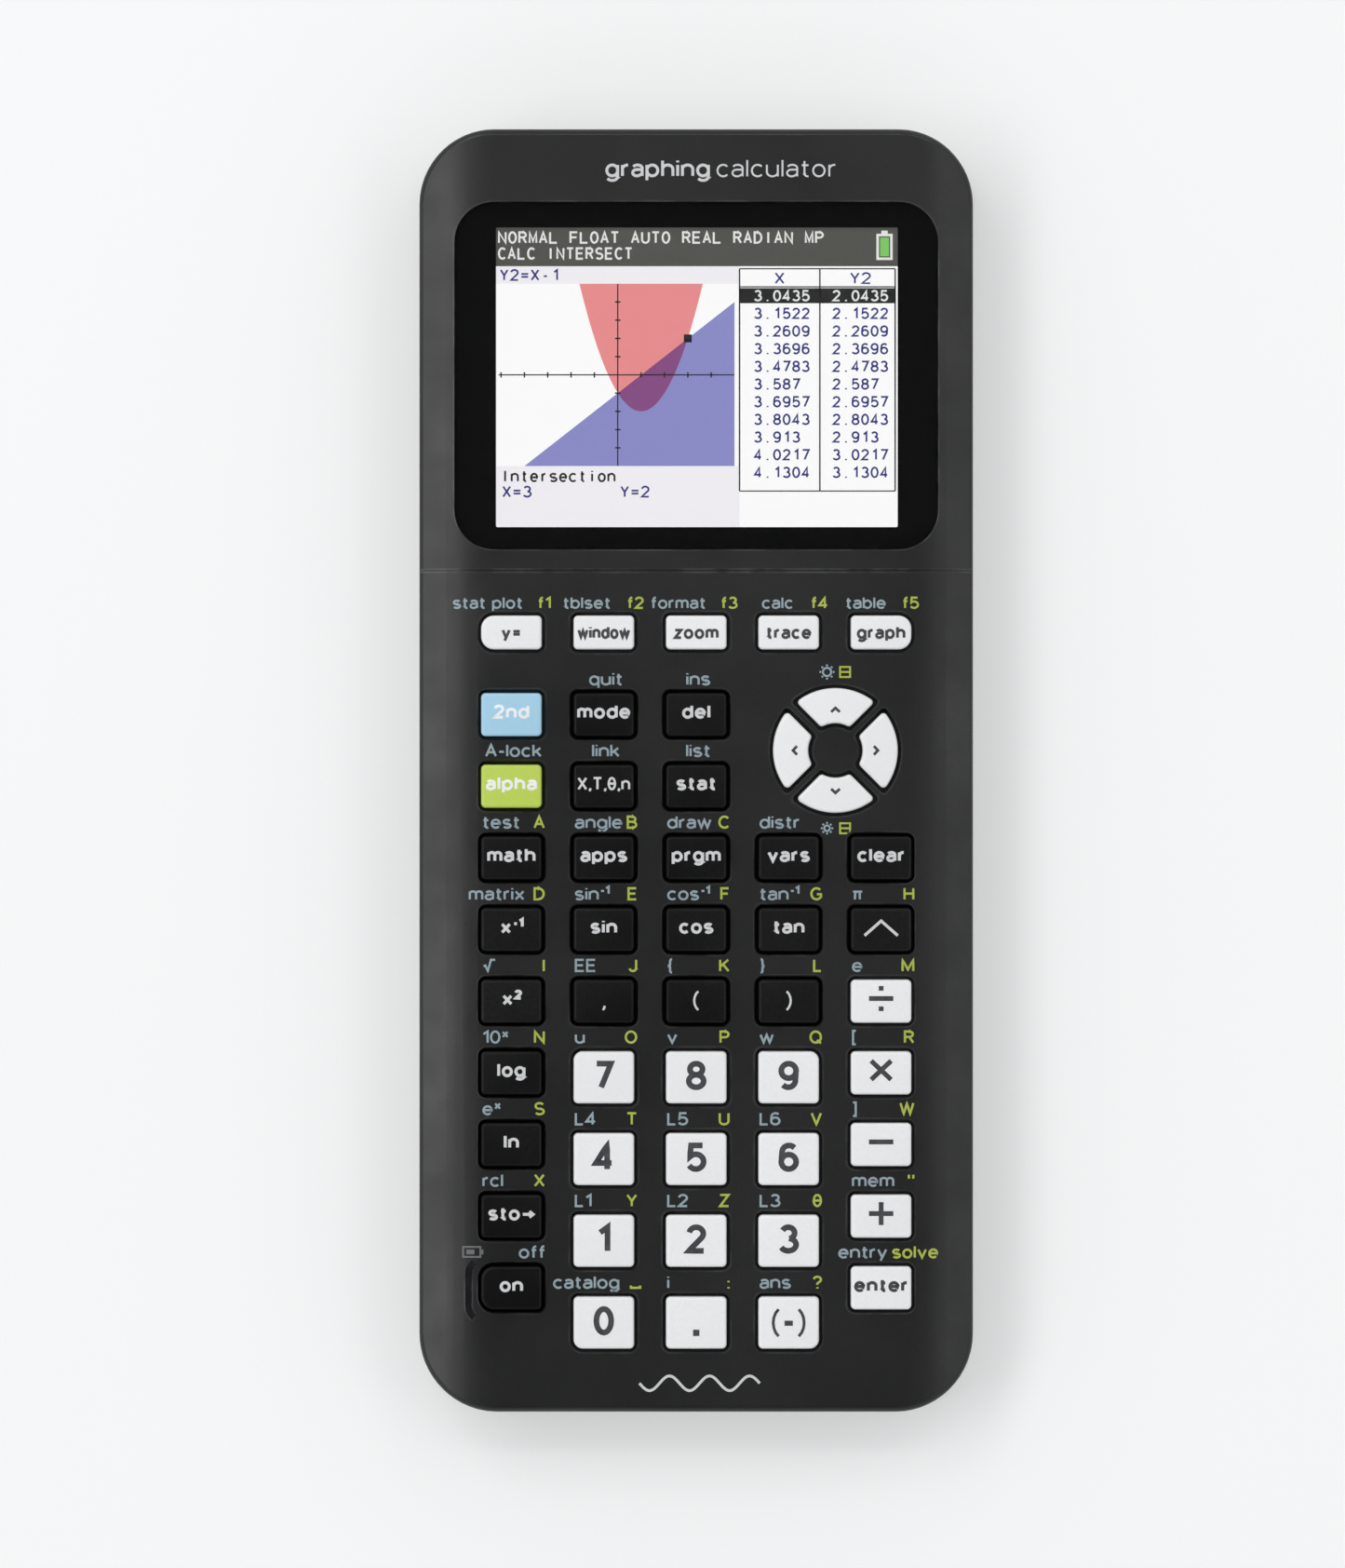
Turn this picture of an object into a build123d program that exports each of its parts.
from build123d import *
import math
import os

# Handheld graphing calculator, lying on its back.
# Millimetres. +X is to the right, +Y towards the display end, +Z out of the face.
# The origin is under the middle of the case, on the plane that its feet rest on.

# Case outline, seen from the front.
CASE_WIDTH = 83.0
CASE_LENGTH = 192.0
TOP_CORNER_R = 11.2
BOTTOM_CORNER_R = 11.7

# Heights through the case.
FOOT_HEIGHT = 0.5
FACE_Z = 14.7
KEY_TOP_Z = 16.0
PARTING_Z = 6.5
SKY_Z = 20.0

# Walls.
SIDE_WALL = 1.9
FACE_WALL = 1.8
REAR_WALL = 1.7
FRONT_EDGE_R = 0.9
REAR_EDGE_R = 3.6
LIP_WALL = 0.9
LIP_HEIGHT = 1.2
LIP_GAP = 0.1

# Crown of the face: flat in the middle, then an arc, then a straight slope.
FLAT_HALF = 30.0
SHOULDER_R = 26.0
SHOULDER_HALF = 37.5
BEYOND_HALF = 45.0

# Decorative seam across the face, and the slide-case groove in each side.
SEAM_Y = 29.9
SEAM_WIDTH = 0.4
SEAM_DEPTH = 0.3
GROOVE_DEPTH = 0.6
GROOVE_LOW_Z = 8.6
GROOVE_HIGH_Z = 10.2
GROOVE_LENGTH = 134.0

# Display window and the display behind it.
WINDOW_WIDTH = 72.5
WINDOW_HEIGHT = 52.1
WINDOW_Y = 59.1
WINDOW_CORNER_R = 6.0
WINDOW_THICKNESS = 1.0
WINDOW_TOP_Z = 13.9
WINDOW_GAP = 0.1
LEDGE_Z = 12.0
LEDGE_MARGIN = 1.8
LCD_WIDTH = 60.2
LCD_HEIGHT = 44.9
LCD_X = 0.1
LCD_Y = 58.9
LCD_BORDER = 0.6
MODULE_WIDTH = 66.0
MODULE_HEIGHT = 49.6
MODULE_TOP_Z = 11.9
MODULE_GLASS = 1.1
MODULE_RIM = 1.2
FLEX_WIDTH = 22.0
FLEX_THICKNESS = 0.2
MODULE_LIFT = 0.1
WINDOW_BEVEL = 0.15

# Keys: five columns, a function row, eight lines of small keys and four of digits.
COLUMN_PITCH = 13.83
KEY_WIDTH = 9.2
SMALL_HEIGHT = 6.6
DIGIT_HEIGHT = 7.94
FUNCTION_HEIGHT = 5.2
FUNCTION_Y = 20.65
SMALL_TOP_Y = 8.36
SMALL_PITCH = 10.72
DIGIT_TOP_Y = -45.91
DIGIT_PITCH = 12.23
KEY_CORNER_R = 0.75
DIGIT_OUTER_R = 1.45
END_OUTER_R = 2.0
KEY_EDGE_R = 0.4
KEY_CROWN_R = 70.0
KEY_DRAFT = 0.11
KEY_GAP = 0.42
APERTURE_BEVEL = 0.18
FLANGE_MARGIN = 0.7
FLANGE_TOP_Z = 12.6
FLANGE_BOTTOM_Z = 11.7

# Four arrow keys, cut from one ring.
PAD_X = 20.83
PAD_Y = 3.0
PAD_OUTER_R = 9.4
PAD_INNER_R = 4.0
PAD_SLIT = 1.8
PAD_CORNER_R = 0.6
PAD_CROWN_R = 110.0
PAD_FLANGE_MARGIN = 0.35

# Rubber keypad.
RUBBER_TOP_Z = 10.4
RUBBER_HALF_WIDTH = 33.5
RUBBER_LOW_Y = -90.0
RUBBER_HIGH_Y = 25.6
DOME_BASE_R = 2.6
DOME_TOP_R = 1.7
DOME_HOLLOW_R = 2.0
DOME_HOLLOW_TOP_R = 1.2
DOME_ROOF = 0.9

# Circuit board.
BOARD_TOP_Z = 9.7
BOARD_THICKNESS = 1.0
BOARD_INSET = 4.5
BOSS_CLEARANCE = 0.5
CONNECTOR_WIDTH = 26.0
CONNECTOR_Y = (26.6, 30.2)
CONNECTOR_HEIGHT = 1.6
CHIP_CORNER_R = 0.3
# Chips under the board: x, y, width, length and height.
CHIPS_UNDER = [
    (6.0, 62.0, 14.0, 14.0, 1.4),
    (-14.0, 60.0, 10.0, 12.0, 1.1),
    (24.0, 40.0, 6.0, 6.0, 1.0),
    (-26.0, 36.0, 5.0, 6.5, 1.0),
    (26.0, 62.0, 4.0, 3.0, 1.8),
    (4.0, 20.0, 7.0, 5.0, 1.2),
    (-30.0, -60.0, 3.5, 5.0, 1.0),
]

# USB socket, soldered under the board and reaching into the right side wall.
USB_Y = 76.0
USB_WIDTH = 7.7
USB_HEIGHT = 3.95
USB_DEPTH = 9.2
USB_SHELL = 0.35
USB_MOUTH_X = 41.1
USB_OPENING_WIDTH = 9.2
USB_OPENING_HEIGHT = 5.0
USB_OPENING_DEPTH = 8.0
USB_OPENING_CORNER_R = 1.2
USB_CHAMFER = 0.7
USB_TONGUE_WIDTH = 3.6

# Status light slot beside the lowest left key.
LIGHT_X = -34.1
LIGHT_Y = -77.75
LIGHT_LENGTH = 9.1
LIGHT_WIDTH = 1.0
LIGHT_HOOK = 0.9
LIGHT_END_R = 2.2
LED_WIDTH = 0.9
LED_HEIGHT = 0.6

# Case screws, their front bosses and rear towers.
SCREW_PLACES = [
    (-34.5, 89.8),
    (34.5, 89.8),
    (-36.6, 31.0),
    (36.6, 31.0),
    (-34.5, -89.5),
    (34.5, -89.5),
]
HEAD_R = 1.9
HEAD_HEIGHT = 1.2
SHANK_R = 0.95
SHANK_LENGTH = 8.0
LID_SHANK_LENGTH = 5.4
HEAD_SEAT_Z = 3.0
PILOT_R = 1.0
CLEARANCE_HOLE_R = 1.15
COUNTERBORE_R = 2.2
BOSS_R = 2.6
BOSS_BOTTOM_Z = 4.3
TOWER_R = 3.4
TOWER_TOP_Z = 4.2
RECESS_WIDTH = 0.5
RECESS_LENGTH = 2.2
RECESS_DEPTH = 0.7
HEAD_EDGE_R = 0.3
PILOT_RUN_OUT = 0.4

# Battery, its bay and its lid.
BATTERY_WIDTH = 42.0
BATTERY_LENGTH = 58.0
BATTERY_HEIGHT = 5.0
BATTERY_Y = -29.0
BATTERY_BOTTOM_Z = 2.15
BATTERY_EDGE_R = 0.8
BAY_GAP = 0.6
BAY_WALL = 1.2
BAY_ROOF = 0.9
BAY_ROOF_Z = 7.3
LID_WIDTH = 51.0
LID_LENGTH = 72.0
LID_Y = -31.5
LID_CORNER_R = 3.0
LID_THICKNESS = 1.5
LID_GAP = 0.15
LID_LEDGE_Z = 2.1
LID_LEDGE_TOP_Z = 3.1
LID_LEDGE_MARGIN = 2.0
LID_SCREW_Y = -63.7
LID_DISC_R = 3.2
LID_DISC_TOP_Z = 3.0
LID_SEAT_Z = 1.8
LID_BOSS_R = 4.6
LID_POST_TOP_Z = 8.0
TAB_WIDTH = 6.0
TAB_X = 14.0
TAB_REACH = 1.8
TAB_LOW_Z = 2.3
TAB_TOP_Z = 3.2
GRIP_COUNT = 5
GRIP_PITCH = 1.4
GRIP_LENGTH = 12.0
GRIP_DEPTH = 0.3
GRIP_Y = -57.0
LID_EDGE_BEVEL = 0.3
TAB_GAP = 0.3
CONTACT_SLOT_X = (-9.0, 9.0)
CONTACT_SLOT_Y = (-5.5, 0.2)
CONTACT_PITCH = 6.0
CONTACT_WIDTH = 2.0
CONTACT_THICKNESS = 0.3
CONTACT_GAP = 0.05

# Board supports standing on the rear cover.
POST_R = 1.5
POST_PLACES = [(-31.0, 58.0), (31.0, 58.0), (-31.0, 4.0), (31.0, 4.0), (-31.0, -72.0), (31.0, -72.0)]

# Feet moulded on the rear cover.
FOOT_WIDTH = 5.0
FOOT_LENGTH = 14.0
FOOT_X = 30.0
FOOT_Y = 78.0

# Rating-plate recess on the back, left blank.
PLATE_WIDTH = 44.0
PLATE_HEIGHT = 20.0
PLATE_Y = 48.0
PLATE_DEPTH = 0.25

# Reset plunger in the back.
RESET_X = -18.0
RESET_Y = 16.0
RESET_R = 1.3
RESET_HOLE_R = 1.5
RESET_BOTTOM_Z = 0.9
RESET_TOP_Z = 5.9
RESET_COLLAR_R = 2.2
RESET_COLLAR_Z = 2.3
RESET_COLLAR_HEIGHT = 0.6
RESET_SWITCH_Z = 6.25
RESET_SWITCH_WIDTH = 4.0

FUNCTION_KEYS = ["key_y_equals", "key_window", "key_zoom", "key_trace", "key_graph"]
SMALL_ROWS = [
    ["key_2nd", "key_mode", "key_del", None, None],
    ["key_alpha", "key_variable", "key_stat", None, None],
    ["key_math", "key_apps", "key_prgm", "key_vars", "key_clear"],
    ["key_reciprocal", "key_sin", "key_cos", "key_tan", "key_power"],
    ["key_square", "key_comma", "key_open_bracket", "key_close_bracket", "key_divide"],
    ["key_log", None, None, None, "key_multiply"],
    ["key_ln", None, None, None, "key_subtract"],
    ["key_store", None, None, None, "key_add"],
    ["key_on", None, None, None, "key_enter"],
]
DIGIT_ROWS = [
    [None, "key_7", "key_8", "key_9", None],
    [None, "key_4", "key_5", "key_6", None],
    [None, "key_1", "key_2", "key_3", None],
    [None, "key_0", "key_decimal_point", "key_negate", None],
]
# Arrow keys by the direction, in degrees, that each one points.
ARROW_KEYS = {"key_right": 0, "key_up": 90, "key_left": 180, "key_down": 270}

# Corner radii that differ from the usual one: top left, top right, bottom right, bottom left.
PLAIN_CORNERS = [KEY_CORNER_R] * 4
LEFT_END = [END_OUTER_R, KEY_CORNER_R, KEY_CORNER_R, END_OUTER_R]
RIGHT_END = [KEY_CORNER_R, END_OUTER_R, END_OUTER_R, KEY_CORNER_R]
SPECIAL_CORNERS = {
    "key_y_equals": LEFT_END,
    "key_on": LEFT_END,
    "key_graph": RIGHT_END,
    "key_7": [DIGIT_OUTER_R, KEY_CORNER_R, KEY_CORNER_R, KEY_CORNER_R],
    "key_9": [KEY_CORNER_R, DIGIT_OUTER_R, KEY_CORNER_R, KEY_CORNER_R],
    "key_negate": [KEY_CORNER_R, KEY_CORNER_R, DIGIT_OUTER_R, KEY_CORNER_R],
    "key_0": [KEY_CORNER_R, KEY_CORNER_R, KEY_CORNER_R, DIGIT_OUTER_R],
}


def at(x, y, z=0.0):
    """Location of a point."""
    return Location((x, y, z))


def block(x_span, y_span, z_span):
    """Box from its low and high values along each axis."""
    spans = (x_span, y_span, z_span)
    sizes = [high - low for low, high in spans]
    middle = [(low + high) / 2 for low, high in spans]
    return Location(tuple(middle)) * Box(*sizes)


def cylinder(x, y, radius, low_z, high_z):
    """Upright cylinder between two heights."""
    return at(x, y, (low_z + high_z) / 2) * Cylinder(radius, high_z - low_z)


def prism(outline, low_z, high_z):
    """Flat outline raised from one height to another."""
    return extrude(Location((0, 0, low_z)) * outline, high_z - low_z)


def drafted(low_outline, high_outline, low_z, high_z):
    """Solid between two like outlines at two heights."""
    low = Location((0, 0, low_z)) * low_outline
    high = Location((0, 0, high_z)) * high_outline
    return loft([low, high], ruled=True)


def cornered_outline(width, height, radii):
    """Rectangle with its own radius at each corner, from the top left, clockwise."""
    outline = Rectangle(width, height)
    signs = [(-1, 1), (1, 1), (1, -1), (-1, -1)]
    for (side, end), radius in zip(signs, radii):
        corner = outline.vertices().sort_by_distance((side * width / 2, end * height / 2, 0))[0]
        outline = fillet(corner, radius)
    return outline


def case_outline(inset):
    """Outline of the case, drawn in by an inset."""
    top = TOP_CORNER_R - inset
    bottom = BOTTOM_CORNER_R - inset
    return cornered_outline(CASE_WIDTH - 2 * inset, CASE_LENGTH - 2 * inset, [top, top, bottom, bottom])


def crown_prism(lowered):
    """Everything under the crowned face, lowered by an amount."""
    slope = math.asin((SHOULDER_HALF - FLAT_HALF) / SHOULDER_R)
    top = FACE_Z - lowered

    def arc_point(angle):
        return FLAT_HALF + SHOULDER_R * math.sin(angle), top - SHOULDER_R * (1 - math.cos(angle))

    end_x, end_z = arc_point(slope)
    outer_z = end_z - (BEYOND_HALF - end_x) * math.tan(slope)
    half_x, half_z = arc_point(slope / 2)
    edges = [Line((-FLAT_HALF, top), (FLAT_HALF, top))]
    for side in (-1, 1):
        flat_end = (side * FLAT_HALF, top)
        edges.append(ThreePointArc(flat_end, (side * half_x, half_z), (side * end_x, end_z)))
        edges.append(Line((side * end_x, end_z), (side * BEYOND_HALF, outer_z)))
        edges.append(Line((side * BEYOND_HALF, outer_z), (side * BEYOND_HALF, 0)))
    edges.append(Line((-BEYOND_HALF, 0), (BEYOND_HALF, 0)))
    profile = Plane.XZ * make_face(edges)
    return extrude(profile, CASE_LENGTH, both=True)


def ring_edges(solid, low_z):
    """Edges of a case shell that lie on its outer side, above a height."""
    found = []
    for edge in solid.edges():
        middle = edge.position_at(0.5)
        upright = abs(edge.tangent_at(0.5).Z) > 0.99
        if middle.Z > low_z and not upright:
            found.append(edge)
    return found


def key_places():
    """Name, x, y, height and corner radii of every straight-sided key."""
    places = []
    for column, name in enumerate(FUNCTION_KEYS):
        places.append((name, (column - 2) * COLUMN_PITCH, FUNCTION_Y, FUNCTION_HEIGHT))
    for row, names in enumerate(SMALL_ROWS):
        for column, name in enumerate(names):
            if name:
                y = SMALL_TOP_Y - row * SMALL_PITCH
                places.append((name, (column - 2) * COLUMN_PITCH, y, SMALL_HEIGHT))
    for row, names in enumerate(DIGIT_ROWS):
        for column, name in enumerate(names):
            if name:
                y = DIGIT_TOP_Y - row * DIGIT_PITCH
                places.append((name, (column - 2) * COLUMN_PITCH, y, DIGIT_HEIGHT))
    return places


def key_outline(name, height, grown):
    """Outline of a straight-sided key, grown by a margin on every side."""
    radii = [radius + grown for radius in SPECIAL_CORNERS.get(name, PLAIN_CORNERS)]
    return cornered_outline(KEY_WIDTH + 2 * grown, height + 2 * grown, radii)


def arrow_outline(angle, grown):
    """Outline of one arrow key about the middle of the pad, grown by a margin."""
    ring = Circle(PAD_OUTER_R + grown) - Circle(PAD_INNER_R - grown)
    reach = 2 * PAD_OUTER_R
    start = (PAD_SLIT / 2 - grown) * math.sqrt(2)
    corners = [(start, 0), (reach + start, reach), (reach + start, -reach)]
    wedge = ring & make_face(Polyline(*corners, close=True))
    wedge = fillet(wedge.vertices(), PAD_CORNER_R)
    return Rotation(0, 0, angle) * wedge


def crown_ball(radius):
    """Ball whose top just touches the height of the key tops."""
    return at(0, 0, KEY_TOP_Z - radius) * Sphere(radius)


def key_solid(outline_at, crown_r, flange_margin):
    """Key from its outline as a function of growth: flange, drafted cap, domed top, rounded edge."""
    cap = drafted(outline_at(0), outline_at(-KEY_DRAFT), FLANGE_TOP_Z, KEY_TOP_Z) & crown_ball(crown_r)
    cap = fillet(cap.faces().sort_by(Axis.Z)[-1].edges(), KEY_EDGE_R)
    return cap + prism(outline_at(flange_margin), FLANGE_BOTTOM_Z, FLANGE_TOP_Z)


def straight_key(name, height):
    """Straight-sided key, about its own middle."""
    return key_solid(lambda grown: key_outline(name, height, grown), KEY_CROWN_R, FLANGE_MARGIN)


def arrow_key(angle):
    """Arrow key, about the middle of the pad."""
    return key_solid(lambda grown: arrow_outline(angle, grown), PAD_CROWN_R, PAD_FLANGE_MARGIN)


def dome_places():
    """Middle of the rubber dome under every key."""
    places = [(x, y) for name, x, y, height in key_places()]
    reach = (PAD_INNER_R + PAD_OUTER_R) / 2
    for angle in ARROW_KEYS.values():
        turn = math.radians(angle)
        places.append((PAD_X + reach * math.cos(turn), PAD_Y + reach * math.sin(turn)))
    return places


def aperture_tools():
    """Cutting tools for the key openings: a straight hole and a small bevel at the face."""
    tools = []

    def add_tools(place, outline_at):
        low_z, high_z = FACE_Z - APERTURE_BEVEL, FACE_Z + APERTURE_BEVEL
        narrow, wide = outline_at(KEY_GAP), outline_at(KEY_GAP + 2 * APERTURE_BEVEL)
        tools.append(place * prism(narrow, LEDGE_Z, SKY_Z))
        tools.append(place * drafted(narrow, wide, low_z, high_z))

    for name, x, y, height in key_places():
        add_tools(at(x, y), lambda grown: key_outline(name, height, grown))
    for angle in ARROW_KEYS.values():
        add_tools(at(PAD_X, PAD_Y), lambda grown: arrow_outline(angle, grown))
    return tools


def light_outline(grown):
    """Bracket-shaped outline of the status light, its ends curving towards the key."""
    half = LIGHT_LENGTH / 2
    straight = half - LIGHT_END_R
    hook = math.sqrt(LIGHT_END_R**2 - (LIGHT_END_R - LIGHT_HOOK) ** 2)
    path = Polyline((0, straight), (0, -straight))
    for end in (-1, 1):
        turn_x = LIGHT_END_R * (1 - math.cos(math.radians(30)))
        turn_y = end * (straight + LIGHT_END_R * math.sin(math.radians(30)))
        tip = (LIGHT_HOOK, end * (straight + hook))
        path += ThreePointArc((0, end * straight), (turn_x, turn_y), tip)
    return at(LIGHT_X, LIGHT_Y) * trace(path, LIGHT_WIDTH + 2 * grown)


def usb_opening():
    """Opening for the USB plug, across the parting line of the right side."""
    middle_z = BOARD_TOP_Z - BOARD_THICKNESS - USB_HEIGHT / 2
    outline = RectangleRounded(USB_OPENING_WIDTH, USB_OPENING_HEIGHT, USB_OPENING_CORNER_R)
    start = (USB_MOUTH_X - USB_OPENING_DEPTH / 2, USB_Y, middle_z)
    placed = Plane(origin=start, x_dir=(0, 1, 0), z_dir=(1, 0, 0)) * outline
    return extrude(placed, USB_OPENING_DEPTH)


def side_grooves():
    """Straight grooves that the slide case runs in."""
    grooves = []
    for side in (-1, 1):
        outer = side * (CASE_WIDTH / 2 + 1)
        inner = side * (CASE_WIDTH / 2 - GROOVE_DEPTH)
        span = (min(outer, inner), max(outer, inner))
        half = GROOVE_LENGTH / 2
        grooves.append(block(span, (-half, half), (GROOVE_LOW_Z, GROOVE_HIGH_Z)))
    return grooves


def front_shell():
    """Front cover as a solid block: crowned face, side walls and rounded edge."""
    outer = prism(case_outline(0), PARTING_Z, SKY_Z) & crown_prism(0)
    return fillet(ring_edges(outer, PARTING_Z + 1), FRONT_EDGE_R)


def seam():
    """Shallow seam that follows the crown across the face."""
    half = SEAM_WIDTH / 2
    strip = block((-BEYOND_HALF, BEYOND_HALF), (SEAM_Y - half, SEAM_Y + half), (PARTING_Z + 2, SKY_Z))
    return strip - crown_prism(SEAM_DEPTH)


def window_tools():
    """Cutting tools for the window: its recess, the bevel round it and the hole over the display."""
    seat_z = WINDOW_TOP_Z - WINDOW_THICKNESS
    radii = [WINDOW_CORNER_R] * 4
    recess = at(0, WINDOW_Y) * cornered_outline(WINDOW_WIDTH, WINDOW_HEIGHT, radii)
    hole = Rectangle(LCD_WIDTH + 2 * LCD_BORDER, LCD_HEIGHT + 2 * LCD_BORDER)
    return [prism(recess, seat_z, SKY_Z), prism(at(LCD_X, LCD_Y) * hole, LEDGE_Z - 1, SKY_Z)]


def parting_step():
    """Step inside the front cover that the lip of the rear cover stands in."""
    return prism(case_outline(LIP_WALL), PARTING_Z - 1, PARTING_Z + LIP_HEIGHT + LIP_GAP)


def front_cover():
    """Front cover with its window ledge, key openings, bosses and parting step."""
    outer = front_shell()
    inner = prism(case_outline(SIDE_WALL), 0, SKY_Z) & crown_prism(FACE_WALL)
    ledge_half = WINDOW_WIDTH / 2 + LEDGE_MARGIN
    ledge_low = WINDOW_Y - WINDOW_HEIGHT / 2 - LEDGE_MARGIN
    ledge_high = WINDOW_Y + WINDOW_HEIGHT / 2 + LEDGE_MARGIN
    ledge = block((-ledge_half, ledge_half), (ledge_low, ledge_high), (LEDGE_Z, FACE_Z))
    cover = outer - [inner, parting_step()] + (ledge & outer)
    boss_room = outer + inner
    for x, y in SCREW_PLACES:
        cover += cylinder(x, y, BOSS_R, BOSS_BOTTOM_Z, FACE_Z) & boss_room
    tools = aperture_tools() + window_tools() + side_grooves()
    tools += [seam(), usb_opening(), prism(light_outline(0), LEDGE_Z - 2, SKY_Z)]
    pilot_top_z = HEAD_SEAT_Z + SHANK_LENGTH + PILOT_RUN_OUT
    for x, y in SCREW_PLACES:
        tools.append(cylinder(x, y, PILOT_R, 0, pilot_top_z))
    return cover - tools


def rear_shell():
    """Rear cover as an open tray with a rounded bottom edge and a lip round its rim."""
    outer = prism(case_outline(0), FOOT_HEIGHT, PARTING_Z)
    outer = fillet(outer.edges().group_by(Axis.Z)[0], REAR_EDGE_R)
    inner = prism(case_outline(SIDE_WALL), FOOT_HEIGHT + REAR_WALL, SKY_Z)
    inner = fillet(inner.edges().group_by(Axis.Z)[0], REAR_EDGE_R - REAR_WALL)
    lip = case_outline(LIP_WALL + LIP_GAP) - case_outline(SIDE_WALL)
    tray = outer - inner
    return tray + prism(lip, PARTING_Z - LIP_GAP, PARTING_Z + LIP_HEIGHT)


def lid_outline(grown):
    """Outline of the battery lid, grown by a margin."""
    corners = [LID_CORNER_R + grown] * 4
    return at(0, LID_Y) * cornered_outline(LID_WIDTH + 2 * grown, LID_LENGTH + 2 * grown, corners)


def bay_outline(grown):
    """Outline of the inside of the battery bay, grown by a margin."""
    margin = 2 * (BAY_GAP + grown)
    return at(0, BATTERY_Y) * Rectangle(BATTERY_WIDTH + margin, BATTERY_LENGTH + margin)


def tab_spans(side, gap):
    """Spans of one lid tab in X and Y, with a gap round it."""
    edge = LID_Y + LID_LENGTH / 2
    half = TAB_WIDTH / 2 + gap
    x_span = (side * TAB_X - half, side * TAB_X + half)
    return x_span, (edge - TAB_REACH - gap, edge + TAB_REACH + gap)


def battery_bay():
    """Bay for the battery: ledge for the lid, walls, roof and screw post."""
    floor_top = FOOT_HEIGHT + REAR_WALL
    bay = prism(lid_outline(LID_LEDGE_MARGIN), LID_LEDGE_Z, LID_LEDGE_TOP_Z)
    bay += prism(bay_outline(BAY_WALL), floor_top, BAY_ROOF_Z + BAY_ROOF)
    bay += cylinder(0, LID_SCREW_Y, LID_BOSS_R, LID_LEDGE_Z, TOWER_TOP_Z)
    bay += cylinder(0, LID_SCREW_Y, BOSS_R, LID_LEDGE_Z, LID_POST_TOP_Z)
    return bay


def battery_bay_tools():
    """Cutting tools for the battery bay."""
    edge = LID_LEDGE_TOP_Z + LID_GAP
    tools = [
        prism(lid_outline(LID_GAP), 0, LID_LEDGE_Z),
        prism(bay_outline(0), 0, BAY_ROOF_Z),
        cylinder(0, LID_SCREW_Y, LID_DISC_R + LID_GAP, 0, LID_LEDGE_TOP_Z),
        cylinder(0, LID_SCREW_Y, PILOT_R, 0, LID_POST_TOP_Z),
        block(CONTACT_SLOT_X, CONTACT_SLOT_Y, (BAY_ROOF_Z - 1, BAY_ROOF_Z + BAY_ROOF + 1)),
    ]
    for side in (-1, 1):
        tools.append(block(*tab_spans(side, TAB_GAP), (LID_LEDGE_Z, edge + TAB_GAP)))
    return tools


def rear_cover():
    """Rear cover with its feet, screw towers, board posts and battery bay."""
    floor_top = FOOT_HEIGHT + REAR_WALL
    inside = prism(case_outline(SIDE_WALL), FOOT_HEIGHT, SKY_Z)
    cover = rear_shell() + battery_bay()
    for x, y in SCREW_PLACES:
        cover += cylinder(x, y, TOWER_R, floor_top - 1, TOWER_TOP_Z) & inside
    for x, y in POST_PLACES:
        cover += cylinder(x, y, POST_R, floor_top - 1, BOARD_TOP_Z - BOARD_THICKNESS)
    for side in (-1, 1):
        for end in (-1, 1):
            foot = at(side * FOOT_X, end * FOOT_Y) * SlotOverall(FOOT_LENGTH, FOOT_WIDTH)
            cover += prism(foot, 0, floor_top - 1)
    tools = battery_bay_tools() + [usb_opening(), cylinder(RESET_X, RESET_Y, RESET_HOLE_R, 0, PARTING_Z)]
    for x, y in SCREW_PLACES:
        tools.append(cylinder(x, y, COUNTERBORE_R, 0, HEAD_SEAT_Z))
        tools.append(cylinder(x, y, CLEARANCE_HOLE_R, 0, PARTING_Z))
    plate = at(0, PLATE_Y) * RectangleRounded(PLATE_WIDTH, PLATE_HEIGHT, LID_CORNER_R)
    tools.append(prism(plate, 0, FOOT_HEIGHT + PLATE_DEPTH))
    return cover - tools


def battery_cover():
    """Battery lid with its two tabs, its screw seat and grip grooves."""
    top_z = FOOT_HEIGHT + LID_THICKNESS
    lid = prism(lid_outline(0), FOOT_HEIGHT, top_z)
    lid = chamfer(lid.edges().group_by(Axis.Z)[0], LID_EDGE_BEVEL)
    lid += cylinder(0, LID_SCREW_Y, LID_DISC_R, FOOT_HEIGHT, LID_DISC_TOP_Z)
    edge = LID_Y + LID_LENGTH / 2
    for side in (-1, 1):
        x_span, y_span = tab_spans(side, 0)
        tab = block(x_span, y_span, (top_z - 1, TAB_TOP_Z))
        tab -= block((x_span[0] - 1, x_span[1] + 1), (edge, y_span[1] + 1), (0, TAB_LOW_Z))
        lid += tab
    tools = [
        cylinder(0, LID_SCREW_Y, COUNTERBORE_R, 0, LID_SEAT_Z),
        cylinder(0, LID_SCREW_Y, CLEARANCE_HOLE_R, 0, PARTING_Z),
    ]
    for number in range(GRIP_COUNT):
        groove = at(0, GRIP_Y + number * GRIP_PITCH) * SlotOverall(GRIP_LENGTH, GRIP_PITCH / 2)
        tools.append(prism(groove, 0, FOOT_HEIGHT + GRIP_DEPTH))
    return lid - tools


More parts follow.
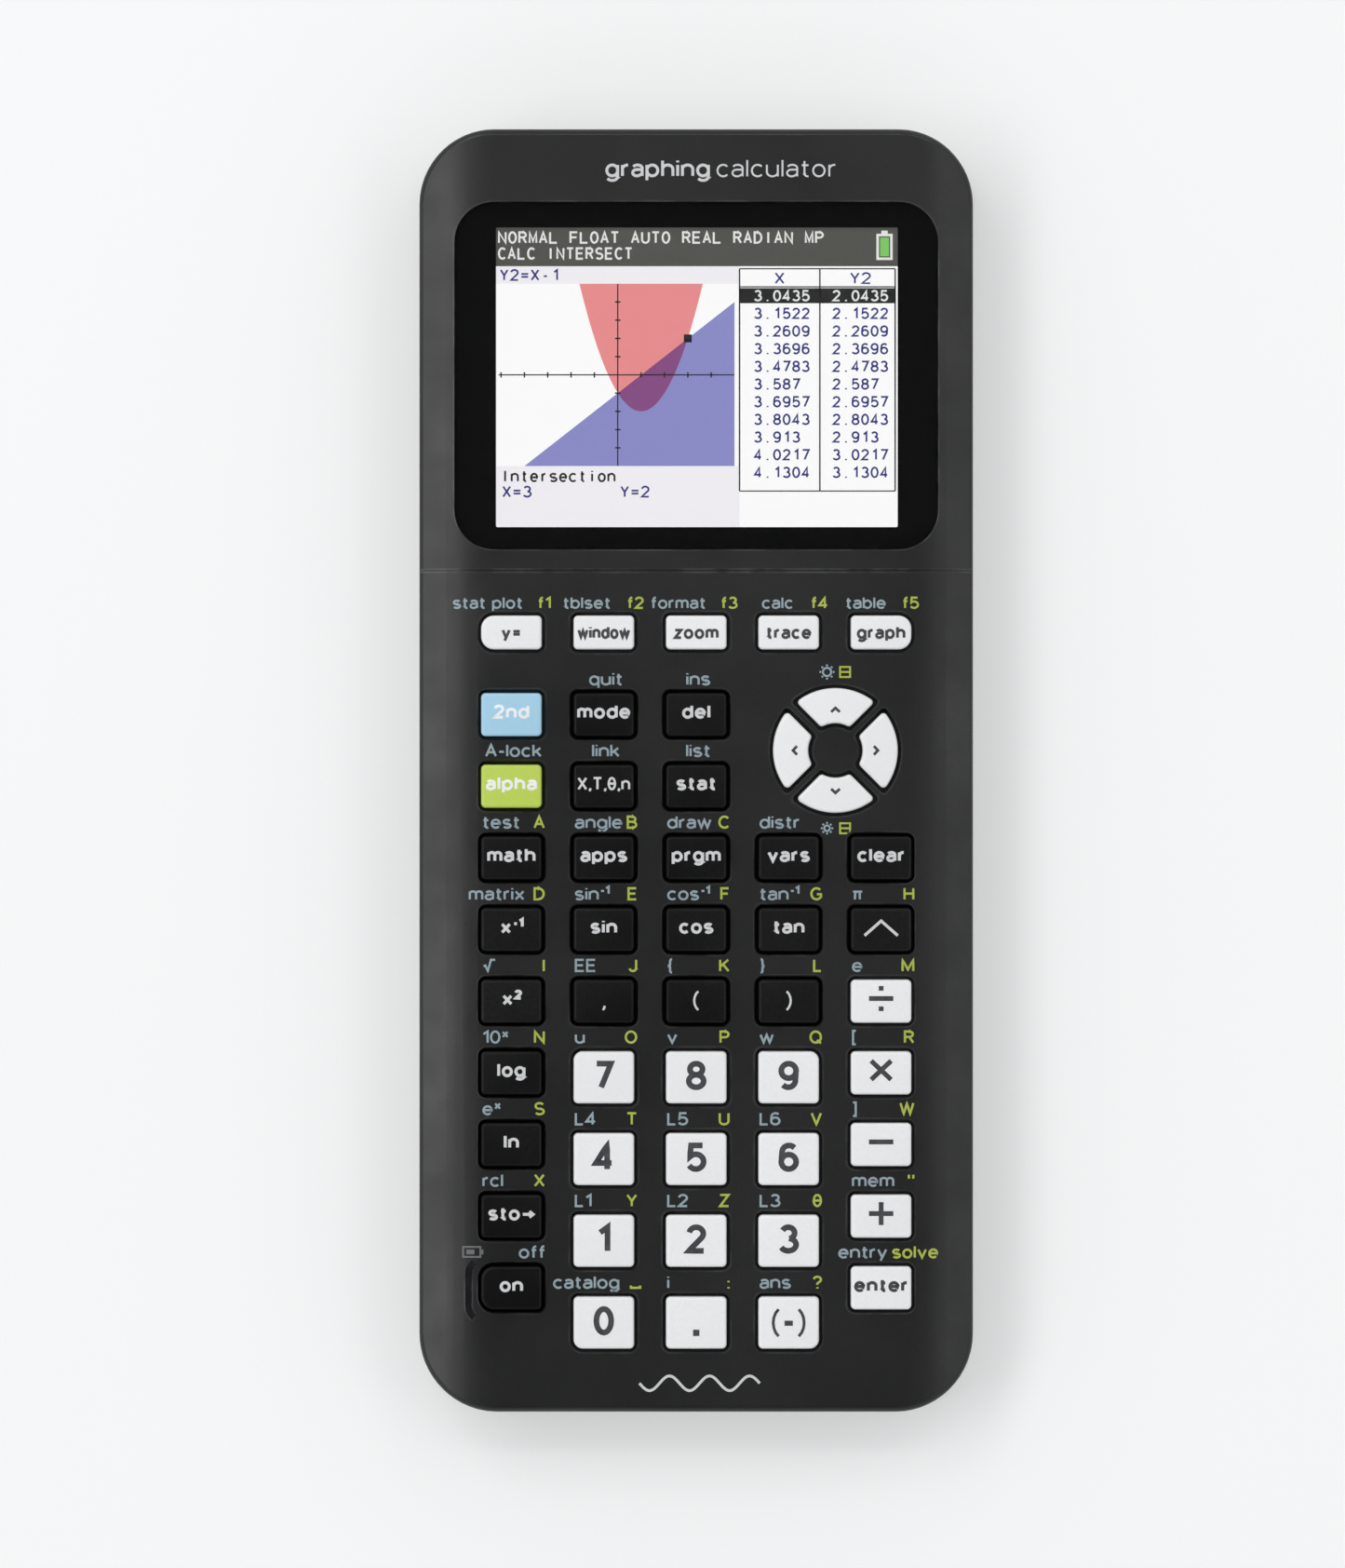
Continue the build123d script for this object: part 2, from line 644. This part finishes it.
def display_window():
    """Clear window with a fine bevel round its upper edge."""
    radii = [WINDOW_CORNER_R - WINDOW_GAP] * 4
    outline = cornered_outline(WINDOW_WIDTH - 2 * WINDOW_GAP, WINDOW_HEIGHT - 2 * WINDOW_GAP, radii)
    window = prism(at(0, WINDOW_Y) * outline, WINDOW_TOP_Z - WINDOW_THICKNESS, WINDOW_TOP_Z)
    return chamfer(window.edges().group_by(Axis.Z)[-1], WINDOW_BEVEL)


def display_module():
    """Display: metal frame, glass panel and the flexible circuit that leaves its lower edge."""
    low_z = BOARD_TOP_Z + MODULE_LIFT
    pocket_z = MODULE_TOP_Z - MODULE_GLASS
    middle = at(LCD_X, LCD_Y)
    rim = 2 * MODULE_RIM
    frame = prism(middle * Rectangle(MODULE_WIDTH, MODULE_HEIGHT), low_z, MODULE_TOP_Z)
    frame -= prism(middle * Rectangle(MODULE_WIDTH - rim, MODULE_HEIGHT - rim), pocket_z, SKY_Z)
    slack = rim + 2 * WINDOW_GAP
    panel = Rectangle(MODULE_WIDTH - slack, MODULE_HEIGHT - slack)
    glass = prism(middle * panel, pocket_z, MODULE_TOP_Z)
    edge_y = LCD_Y - MODULE_HEIGHT / 2
    half = FLEX_WIDTH / 2
    flex_z = (low_z, low_z + FLEX_THICKNESS)
    flex = block((-half, half), (CONNECTOR_Y[1] + MODULE_LIFT, edge_y), flex_z)
    return [frame, glass, flex]


def keypad_membrane():
    """Rubber keypad: a sheet with a hollow dome under every key."""
    width = 2 * RUBBER_HALF_WIDTH
    length = RUBBER_HIGH_Y - RUBBER_LOW_Y
    middle_y = (RUBBER_HIGH_Y + RUBBER_LOW_Y) / 2
    outline = at(0, middle_y) * RectangleRounded(width, length, DOME_BASE_R)
    sheet = prism(outline, BOARD_TOP_Z, RUBBER_TOP_Z)
    domes, hollows = [], []
    dome_height = FLANGE_BOTTOM_Z - RUBBER_TOP_Z
    hollow_height = FLANGE_BOTTOM_Z - DOME_ROOF - BOARD_TOP_Z
    for x, y in dome_places():
        middle = at(x, y, RUBBER_TOP_Z + dome_height / 2)
        domes.append(middle * Cone(DOME_BASE_R, DOME_TOP_R, dome_height))
        middle = at(x, y, BOARD_TOP_Z + hollow_height / 2)
        hollows.append(middle * Cone(DOME_HOLLOW_R, DOME_HOLLOW_TOP_R, hollow_height))
    for x, y in SCREW_PLACES:
        hollows.append(cylinder(x, y, BOSS_R + BOSS_CLEARANCE, 0, SKY_Z))
    return sheet + domes - hollows


def board_blank():
    """Bare circuit board, notched round the screw bosses."""
    board = prism(case_outline(BOARD_INSET), BOARD_TOP_Z - BOARD_THICKNESS, BOARD_TOP_Z)
    return board - [cylinder(x, y, BOSS_R + BOSS_CLEARANCE, 0, SKY_Z) for x, y in SCREW_PLACES]


def usb_socket():
    """Small USB socket under the board: drawn-metal shell, back wall and contact tongue."""
    top_z = BOARD_TOP_Z - BOARD_THICKNESS
    middle_z = top_z - USB_HEIGHT / 2
    back_x = USB_MOUTH_X - USB_DEPTH

    def section(shrunk, x, depth):
        outline = Rectangle(USB_WIDTH - 2 * shrunk, USB_HEIGHT - 2 * shrunk)
        outline = chamfer(outline.vertices().group_by(Axis.Y)[0], USB_CHAMFER)
        plane = Plane(origin=(x, USB_Y, middle_z), x_dir=(0, 1, 0), z_dir=(1, 0, 0))
        return extrude(plane * outline, depth)

    shell = section(0, back_x, USB_DEPTH) - section(USB_SHELL, back_x + 1, USB_DEPTH)
    half = USB_TONGUE_WIDTH / 2
    tongue_z = (middle_z - USB_SHELL, middle_z + USB_SHELL)
    return shell + block((back_x, USB_MOUTH_X - 2), (USB_Y - half, USB_Y + half), tongue_z)


def battery_contacts():
    """Three spring blades that reach from the board through the bay roof to the battery."""
    blades = []
    for number in (-1, 0, 1):
        middle = number * CONTACT_PITCH
        half = CONTACT_WIDTH / 2
        low_z = BATTERY_BOTTOM_Z + BATTERY_HEIGHT + CONTACT_GAP
        top_z = BOARD_TOP_Z - BOARD_THICKNESS
        span = (middle - half, middle + half)
        low_y, high_y = CONTACT_SLOT_Y[0] + 1, CONTACT_SLOT_Y[1] - 1
        foot = block(span, (high_y - 1, high_y), (low_z, top_z))
        toe = block(span, (low_y, high_y), (low_z, low_z + CONTACT_THICKNESS))
        blades.append(foot + toe)
    return blades


def reset_switch():
    """Tact switch under the board, over the reset plunger."""
    top_z = BOARD_TOP_Z - BOARD_THICKNESS
    half = RESET_SWITCH_WIDTH / 2
    body_z = RESET_SWITCH_Z + CONTACT_THICKNESS
    body = block((RESET_X - half, RESET_X + half), (RESET_Y - half, RESET_Y + half), (body_z, top_z))
    return body + cylinder(RESET_X, RESET_Y, RESET_R - CONTACT_THICKNESS, RESET_SWITCH_Z, top_z)


def board_chips():
    """Chips and the display connector soldered on the two sides of the board."""
    under_z = BOARD_TOP_Z - BOARD_THICKNESS
    chips = []
    for x, y, width, length, height in CHIPS_UNDER:
        outline = at(x, y) * RectangleRounded(width, length, CHIP_CORNER_R)
        chips.append(prism(outline, under_z - height, under_z))
    half = CONNECTOR_WIDTH / 2
    connector_top = BOARD_TOP_Z + CONNECTOR_HEIGHT
    chips.append(block((-half, half), CONNECTOR_Y, (BOARD_TOP_Z, connector_top)))
    led_x = LIGHT_X - LED_WIDTH / 2
    led_y = (LIGHT_Y - LED_WIDTH, LIGHT_Y + LED_WIDTH)
    chips.append(block((led_x, led_x + LED_WIDTH), led_y, (BOARD_TOP_Z, BOARD_TOP_Z + LED_HEIGHT)))
    return chips


def circuit_board():
    """Circuit board with everything that is soldered on it."""
    return [board_blank(), usb_socket(), reset_switch()] + battery_contacts() + board_chips()


def battery_pack():
    """Flat battery pack with rounded long edges."""
    half_width, half_length = BATTERY_WIDTH / 2, BATTERY_LENGTH / 2
    top_z = BATTERY_BOTTOM_Z + BATTERY_HEIGHT
    y_span = (BATTERY_Y - half_length, BATTERY_Y + half_length)
    pack = block((-half_width, half_width), y_span, (BATTERY_BOTTOM_Z, top_z))
    return fillet(pack.edges().filter_by(Axis.Y), BATTERY_EDGE_R)


def screw(seat_z, shank_length):
    """Pan-head screw standing head down, its shank pointing up, with a cross recess."""
    head_z = seat_z - HEAD_HEIGHT
    head = cylinder(0, 0, HEAD_R, head_z, seat_z)
    head = fillet(head.edges().group_by(Axis.Z)[0], HEAD_EDGE_R)
    shank = cylinder(0, 0, SHANK_R, seat_z, seat_z + shank_length)
    shank = chamfer(shank.edges().group_by(Axis.Z)[-1], HEAD_EDGE_R)
    short, long = RECESS_WIDTH / 2, RECESS_LENGTH / 2
    recess_z = (0, head_z + RECESS_DEPTH)
    upright = block((-short, short), (-long, long), recess_z)
    level = block((-long, long), (-short, short), recess_z)
    return head + shank - [upright, level]


def screws():
    """Six case screws and the screw of the battery lid."""
    case_screw = screw(HEAD_SEAT_Z, SHANK_LENGTH)
    group = [at(x, y) * case_screw for x, y in SCREW_PLACES]
    group.append(at(0, LID_SCREW_Y) * screw(LID_SEAT_Z, LID_SHANK_LENGTH))
    return group


def reset_button():
    """Reset plunger: a pin recessed in the back, held in by its collar."""
    pin = cylinder(RESET_X, RESET_Y, RESET_R, RESET_BOTTOM_Z, RESET_TOP_Z)
    collar_top = RESET_COLLAR_Z + RESET_COLLAR_HEIGHT
    return pin + cylinder(RESET_X, RESET_Y, RESET_COLLAR_R, RESET_COLLAR_Z, collar_top)


def keys():
    """Every key in its place, by name."""
    made = {}
    for name, x, y, height in key_places():
        made[name] = at(x, y) * straight_key(name, height)
    for name, angle in ARROW_KEYS.items():
        made[name] = at(PAD_X, PAD_Y) * arrow_key(angle)
    return made


def write(name, piece):
    """Write one sub-part, a solid or a list of separate solids."""
    pieces = piece if isinstance(piece, list) else [piece]
    solids = [solid for item in pieces for solid in item.solids()]
    export_step(Compound(children=solids), f"parts/{name}.step")


def main():
    os.makedirs("parts", exist_ok=True)
    write("front_cover", front_cover())
    write("rear_cover", rear_cover())
    write("battery_cover", battery_cover())
    write("display_window", display_window())
    write("display_module", display_module())
    write("keypad_membrane", keypad_membrane())
    write("circuit_board", circuit_board())
    write("battery_pack", battery_pack())
    write("screws", screws())
    write("reset_button", reset_button())
    for name, key in keys().items():
        write(name, key)


main()
